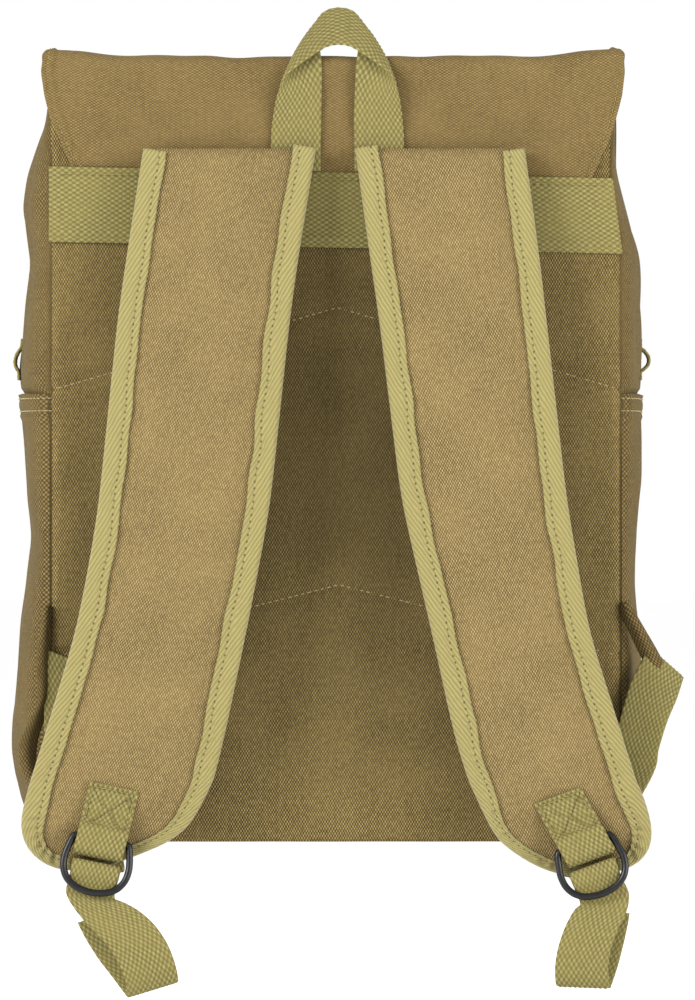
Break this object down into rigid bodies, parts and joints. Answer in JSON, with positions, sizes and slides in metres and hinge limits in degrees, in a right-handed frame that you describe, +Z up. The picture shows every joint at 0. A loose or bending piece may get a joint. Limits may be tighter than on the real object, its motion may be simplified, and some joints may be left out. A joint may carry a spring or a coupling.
{
  "type": "canvas backpack",
  "caption": "Canvas rucksack seen from its harness side, with padded tape-bound straps, D-rings, a webbing grab handle and a fold-over flap.",
  "frame": {"origin": "the hang point, under the arch of the grab handle", "axes": "+Z up along the hanging bag, +X to the right seen from the harness side, -Y out of the harness side"},
  "size_m": [0.3272, 0.1969, 0.4945],
  "materials": {
    "canvas": "washed plain-weave cotton canvas, khaki brown",
    "back_canvas": "washed plain-weave cotton canvas, darker brown",
    "cotton_webbing": "coarse woven cotton webbing, olive yellow",
    "binding_tape": "herringbone cotton tape, olive yellow",
    "black_wire": "black enamelled steel wire"
  },
  "bodies": {
    "root": {"front_panel": "canvas", "base_panel": "canvas", "side_panel_left": "canvas", "side_panel_right": "canvas", "side_pocket_left": "canvas", "side_pocket_right": "canvas", "flap": "canvas", "shoulder_strap_left": "canvas", "shoulder_strap_right": "canvas", "anchor_tab_left": "canvas", "anchor_tab_right": "canvas", "back_panel": "back_canvas", "yoke_band": "cotton_webbing", "grab_handle": "cotton_webbing", "ring_tab_left": "cotton_webbing", "ring_tab_right": "cotton_webbing", "adjuster_left": "cotton_webbing", "adjuster_right": "cotton_webbing", "pocket_loop_left": "cotton_webbing", "pocket_loop_right": "cotton_webbing", "strap_binding_left": "binding_tape", "strap_binding_right": "binding_tape", "d_ring_left_back": "black_wire", "d_ring_left_front": "black_wire", "d_ring_right_back": "black_wire", "d_ring_right_front": "black_wire", "flap_stud": "black_wire"}
  },
  "joints": []
}
